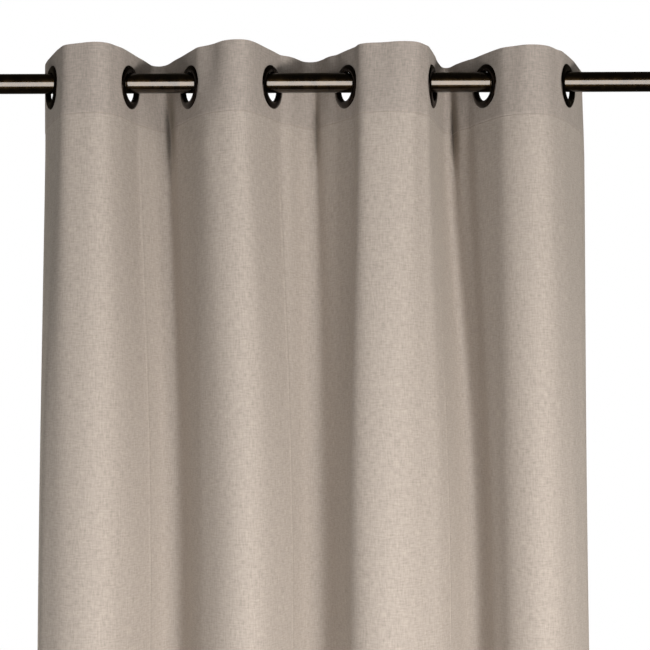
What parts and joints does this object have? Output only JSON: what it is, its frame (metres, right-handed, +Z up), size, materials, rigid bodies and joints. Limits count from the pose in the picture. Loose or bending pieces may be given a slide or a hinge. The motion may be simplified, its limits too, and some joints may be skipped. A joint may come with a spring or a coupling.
{
  "type": "window curtain on rod",
  "caption": "Linen-look eyelet curtain panel that hangs in soft folds on a round dark bronze rod, with open-cup wall brackets and end caps.",
  "frame": {"origin": "on the wall plane, at the height of the rod's axis, midway between the two wall plates", "axes": "+Z up, +Y into the wall, +X along the rod, to the right for someone in the room who looks at the curtain"},
  "size_m": [1.214, 0.1738, 2.45],
  "materials": {
    "cloth": "matt greige linen-look weave with a heathered yarn",
    "eyelet": "pressed steel, dark bronze plated, satin",
    "rod": "drawn steel tube, dark bronze lacquer, semi-gloss",
    "end_cap": "dark bronze lacquer, semi-gloss",
    "bracket": "dark bronze lacquer, satin",
    "screw": "dark bronze plated steel"
  },
  "bodies": {
    "brackets": {"wall_plate_left": "bracket", "bracket_arm_left": "bracket", "cradle_left": "bracket", "wall_plate_right": "bracket", "bracket_arm_right": "bracket", "cradle_right": "bracket", "wall_screw_left_upper": "screw", "wall_screw_left_lower": "screw", "wall_screw_right_upper": "screw", "wall_screw_right_lower": "screw"},
    "rod": {"rod": "rod"},
    "end_cap_left": {"end_cap_left": "end_cap"},
    "end_cap_right": {"end_cap_right": "end_cap"},
    "clamp_screw_left": {"clamp_screw_left": "screw"},
    "clamp_screw_right": {"clamp_screw_right": "screw"},
    "fold_1": {"cloth_1": "cloth", "eyelet_front_1": "eyelet", "eyelet_back_1": "eyelet"},
    "fold_2": {"cloth_2": "cloth", "eyelet_front_2": "eyelet", "eyelet_back_2": "eyelet"},
    "fold_3": {"cloth_3": "cloth", "eyelet_front_3": "eyelet", "eyelet_back_3": "eyelet"},
    "fold_4": {"cloth_4": "cloth", "eyelet_front_4": "eyelet", "eyelet_back_4": "eyelet"},
    "fold_5": {"cloth_5": "cloth", "eyelet_front_5": "eyelet", "eyelet_back_5": "eyelet"},
    "fold_6": {"cloth_6": "cloth", "eyelet_front_6": "eyelet", "eyelet_back_6": "eyelet"},
    "fold_7": {"cloth_7": "cloth", "eyelet_front_7": "eyelet", "eyelet_back_7": "eyelet"},
    "fold_8": {"cloth_8": "cloth", "eyelet_front_8": "eyelet", "eyelet_back_8": "eyelet"}
  },
  "joints": [
    {"name": "rod_lift", "type": "slide", "parent": "brackets", "child": "rod", "axis": [0, 0, 1], "range_m": [0, 0.04]},
    {"name": "end_cap_left_pull", "type": "slide", "parent": "rod", "child": "end_cap_left", "axis": [-1, 0, 0], "range_m": [0, 0.03]},
    {"name": "end_cap_right_pull", "type": "slide", "parent": "rod", "child": "end_cap_right", "axis": [1, 0, 0], "range_m": [0, 0.03]},
    {"name": "clamp_screw_left_turn", "type": "hinge", "parent": "brackets", "child": "clamp_screw_left", "pos_m": [-0.528, -0.13, 0], "axis": [0, -1, 0], "range_deg": [0, 720]},
    {"name": "clamp_screw_right_turn", "type": "hinge", "parent": "brackets", "child": "clamp_screw_right", "pos_m": [0.528, -0.13, 0], "axis": [0, -1, 0], "range_deg": [0, 720]},
    {"name": "curtain_draw", "type": "hinge", "parent": "rod", "child": "fold_1", "pos_m": [-0.368, -0.11, 0], "axis": [0, 0, -1], "range_deg": [-2, 14]},
    {"name": "fold_2_hinge", "type": "hinge", "parent": "fold_1", "child": "fold_2", "pos_m": [-0.3135, -0.17274, 0], "axis": [0, 0, 1], "range_deg": [-4, 28]},
    {"name": "fold_3_hinge", "type": "hinge", "parent": "fold_2", "child": "fold_3", "pos_m": [-0.2165, -0.03428, 0], "axis": [0, 0, -1], "range_deg": [-4, 28]},
    {"name": "fold_4_hinge", "type": "hinge", "parent": "fold_3", "child": "fold_4", "pos_m": [-0.1165, -0.17276, 0], "axis": [0, 0, 1], "range_deg": [-4, 28]},
    {"name": "fold_5_hinge", "type": "hinge", "parent": "fold_4", "child": "fold_5", "pos_m": [-0.006, -0.042, 0], "axis": [0, 0, -1], "range_deg": [-4, 28]},
    {"name": "fold_6_hinge", "type": "hinge", "parent": "fold_5", "child": "fold_6", "pos_m": [0.107, -0.16584, 0], "axis": [0, 0, 1], "range_deg": [-4, 28]},
    {"name": "fold_7_hinge", "type": "hinge", "parent": "fold_6", "child": "fold_7", "pos_m": [0.2045, -0.03106, 0], "axis": [0, 0, -1], "range_deg": [-4, 28]},
    {"name": "fold_8_hinge", "type": "hinge", "parent": "fold_7", "child": "fold_8", "pos_m": [0.3, -0.17204, 0], "axis": [0, 0, 1], "range_deg": [-4, 28]}
  ],
  "couplings": [
    {"joint": "fold_2_hinge", "follows": "curtain_draw", "ratio": 2},
    {"joint": "fold_3_hinge", "follows": "curtain_draw", "ratio": 2},
    {"joint": "fold_4_hinge", "follows": "curtain_draw", "ratio": 2},
    {"joint": "fold_5_hinge", "follows": "curtain_draw", "ratio": 2},
    {"joint": "fold_6_hinge", "follows": "curtain_draw", "ratio": 2},
    {"joint": "fold_7_hinge", "follows": "curtain_draw", "ratio": 2},
    {"joint": "fold_8_hinge", "follows": "curtain_draw", "ratio": 2}
  ]
}
